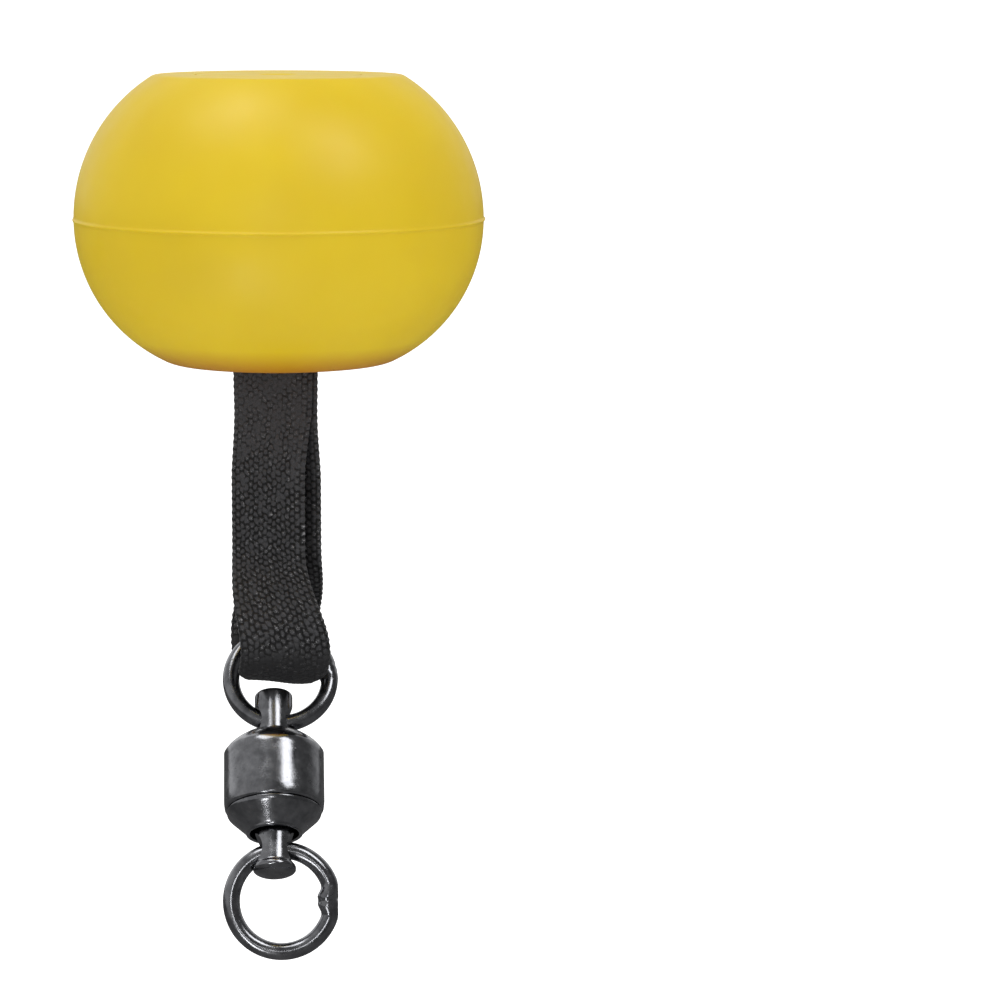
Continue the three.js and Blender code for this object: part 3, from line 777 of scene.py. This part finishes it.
def lower_stem_piece():
    """Round bar with a rolled lip at its end, and the head that the lower balls run on."""
    end, high, head = reach("lower_stem", LOWER_EYE, SWIVEL_UP)
    radius, lip, over = STEM_DIAMETER / 2, LIP_DIAMETER / 2, high - HEAD_THICKNESS
    corners = [(0.3, end), (lip - 0.5, end), (lip, end + 0.3), (lip, end + 0.75), (radius, end + 1.05),
               (radius, over), (head, over), (head, high), (0.3, high)]
    return stem_piece("lower_stem_bar", LOWER_EYE, corners, 0.25)


def shell_piece():
    """Drawn shell: a straight side drawn in at the foot, and a crown that is the curve
    (1-t)^2 shoulder + 2t(1-t) corner + t^2 hole."""
    low, high, radius = reach("barrel_shell", UPPER_EYE, SWIVEL_UP)
    bore, hole = radius - SHELL_WALL, STEM_DIAMETER / 2 + 0.2
    t = np.linspace(0, 1, 24)[:, None]
    shoulder, corner, lip = np.array([(radius, high - 2.4), (radius - 0.85, high - 1.03),
                                      (hole + 0.2, high)])
    crown = (1 - t) ** 2 * shoulder + 2 * t * (1 - t) * corner + t ** 2 * lip
    foot = rounded([(bore, low + 0.8), (bore, low), (radius - 0.12, low), (radius, low + 0.9),
                    (radius, high - 3)], 0.3)
    inside = rounded([(hole, high - 0.3), (hole, high - SHELL_CROWN), (bore, high - SHELL_CROWN),
                      (bore, high - SHELL_CROWN - 1)], 0.15)
    profile = np.vstack([foot, crown, inside])
    points = turned(profile, 160, up=SWIVEL_UP, origin=UPPER_EYE)
    return surface("swivel_shell", points, wrap_rows=True, sharp=35)


def cap_piece():
    """Tapered cap pressed into the shell's foot, with a rolled rim round its mouth."""
    low, high, radius = reach("barrel_cap", UPPER_EYE, SWIVEL_UP)
    shoulder = high - CAP_SPIGOT
    spigot = reach("barrel_shell", UPPER_EYE, SWIVEL_UP)[2] - SHELL_WALL - SEAT_GAP
    corners = [(CAP_MOUTH, low), (CAP_RIM, low), (CAP_RIM + 0.12, low + 0.35),
               (radius - 0.15, shoulder - 0.55), (radius, shoulder), (spigot, shoulder), (spigot, high),
               (CAP_MOUTH, high)]
    profile = rounded(corners, 0.22, closed=True)
    points = turned(profile, 160, up=SWIVEL_UP, origin=UPPER_EYE)
    return surface("swivel_cap", points, wrap_rows=True, sharp=35)


def lower_ring_place():
    """Centre of the lower ring and the way it stands. It hangs from the lower eye."""
    cos, sin = math.cos(LOWER_RING_TURN), math.sin(LOWER_RING_TURN)
    _, y, z = SWIVEL_UP
    up = np.array([0.0, y * cos - z * sin, y * sin + z * cos])
    drop = math.sqrt(RING_RADIUS ** 2 - AXIS_SHIFT ** 2)
    return LOWER_EYE + AXIS_SHIFT * RIGHT - drop * up, up


# ---------- whole ----------

def place_new(piece, material, slot, body, *nodes):
    """Gives a new piece its material and its body, and hides the CAD nodes it stands for."""
    piece.data.materials.clear()
    piece.data.materials.append(material)
    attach(piece, body)
    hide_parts(*nodes)


def dress(prefix, material):
    """Gives the CAD pieces whose names start like this a better material."""
    for name, node in frame["nodes"].items():
        if name.startswith(prefix):
            node.data.materials.clear()
            node.data.materials.append(material)


camera_piece()
studio()
floor_piece()

vinyl = moulded_vinyl()
nylon = woven_nylon()
nickel = black_nickel()

place_new(knob_piece(), vinyl, "knob", "knob", "knob_body")
place_new(plug_piece(), vinyl, "knob", "knob", "top_plug")

webbing = strap_piece()
webbing.data.materials.append(nylon)
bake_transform(webbing)
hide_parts("strap_in_knob", "strap_loop")

upper_ring = ring_piece("ring_on_webbing", UPPER_RING_CENTRE, SWIVEL_UP, UPPER_WELD, 0.2)
place_new(upper_ring, nickel, "swivel_steel", "upper_ring", "upper_ring")
lower_ring = ring_piece("ring_at_end", *lower_ring_place(), 0.0, 0.45)
place_new(lower_ring, nickel, "swivel_steel", "lower_ring", "lower_ring")
place_new(upper_stem_piece(), nickel, "swivel_steel", "upper_stem", "upper_stem")
place_new(lower_stem_piece(), nickel, "swivel_steel", "lower_stem", "lower_stem")
place_new(shell_piece(), nickel, "swivel_steel", "barrel", "barrel_shell")
place_new(cap_piece(), nickel, "swivel_steel", "barrel", "barrel_cap")

zinc, bearing, thread = plated_steel(), bearing_steel(), bonded_thread()
for start in ("anchor_washer", "anchor_pin"):
    dress(start, zinc)
for start in ("upper_race", "lower_race", "upper_ball", "lower_ball"):
    dress(start, bearing)
dress("bartack_thread", thread)
